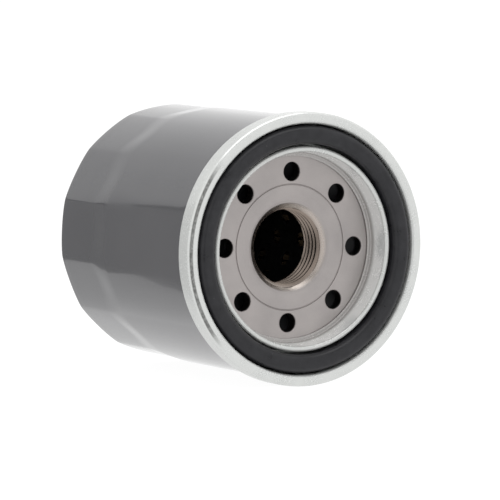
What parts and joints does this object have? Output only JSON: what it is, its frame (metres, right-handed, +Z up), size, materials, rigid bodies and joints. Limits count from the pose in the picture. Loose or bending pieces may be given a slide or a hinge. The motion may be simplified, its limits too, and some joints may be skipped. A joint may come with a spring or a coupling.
{
  "type": "spin-on oil filter",
  "caption": "Spin-on oil filter: painted steel can with a rolled seam, a threaded steel base plate with a ring of oil holes, a rubber face gasket and a pleated element inside.",
  "frame": {"origin": "on the filter's axis, at the outer end of the threaded wall in the hub", "axes": "-Y along the axis, out of the threaded face towards the engine; +Y to the closed end; +Z up with the filter lying on its side"},
  "size_m": [0.0672, 0.0673, 0.0672],
  "materials": {
    "can_paint": "gloss gunmetal grey enamel",
    "zinc_steel": "bright zinc-plated pressed steel",
    "plate_steel": "satin rolled steel with a thin oil film",
    "weld_steel": "heat-tinted spot-weld marks",
    "compound": "cured sealing compound",
    "gasket_rubber": "black nitrile, satin",
    "valve_rubber": "black nitrile, matt",
    "seal_rubber": "black nitrile washer",
    "element_steel": "tin-plated pressed steel",
    "tube_steel": "plain perforated steel",
    "disc_steel": "stamped steel",
    "spring_steel": "oil-tempered spring wire",
    "potting": "red-brown plastisol adhesive",
    "filter_paper": "resin-treated filter paper"
  },
  "bodies": {
    "filter": {"canister": "can_paint", "gasket_retainer": "zinc_steel", "seam_compound": "compound", "base_plate": "plate_steel", "weld_spots": "weld_steel", "base_gasket": "gasket_rubber", "inlet_end_cap": "element_steel", "inlet_potting": "potting", "filter_pleats": "filter_paper", "pleat_seam_clip": "element_steel", "center_tube": "tube_steel", "closed_potting": "potting", "closed_end_cap": "element_steel", "bypass_housing": "tube_steel", "bypass_seal": "seal_rubber", "bypass_spring": "spring_steel", "element_spring": "spring_steel"},
    "drainback": {"anti_drainback_valve": "valve_rubber"},
    "bypass_valve": {"bypass_disc": "disc_steel", "bypass_guide_pin": "disc_steel"}
  },
  "joints": [
    {"name": "drainback_lift", "type": "slide", "parent": "filter", "child": "drainback", "axis": [0, 1, 0], "range_m": [0, 0.0008], "stiffness_N_per_m": 60, "springref_m": -0.001, "deforming": ["anti_drainback_valve"]},
    {"name": "bypass_lift", "type": "slide", "parent": "filter", "child": "bypass_valve", "axis": [0, -1, 0], "range_m": [0, 0.0025], "stiffness_N_per_m": 150, "springref_m": -0.002, "deforming": ["bypass_spring"]}
  ]
}
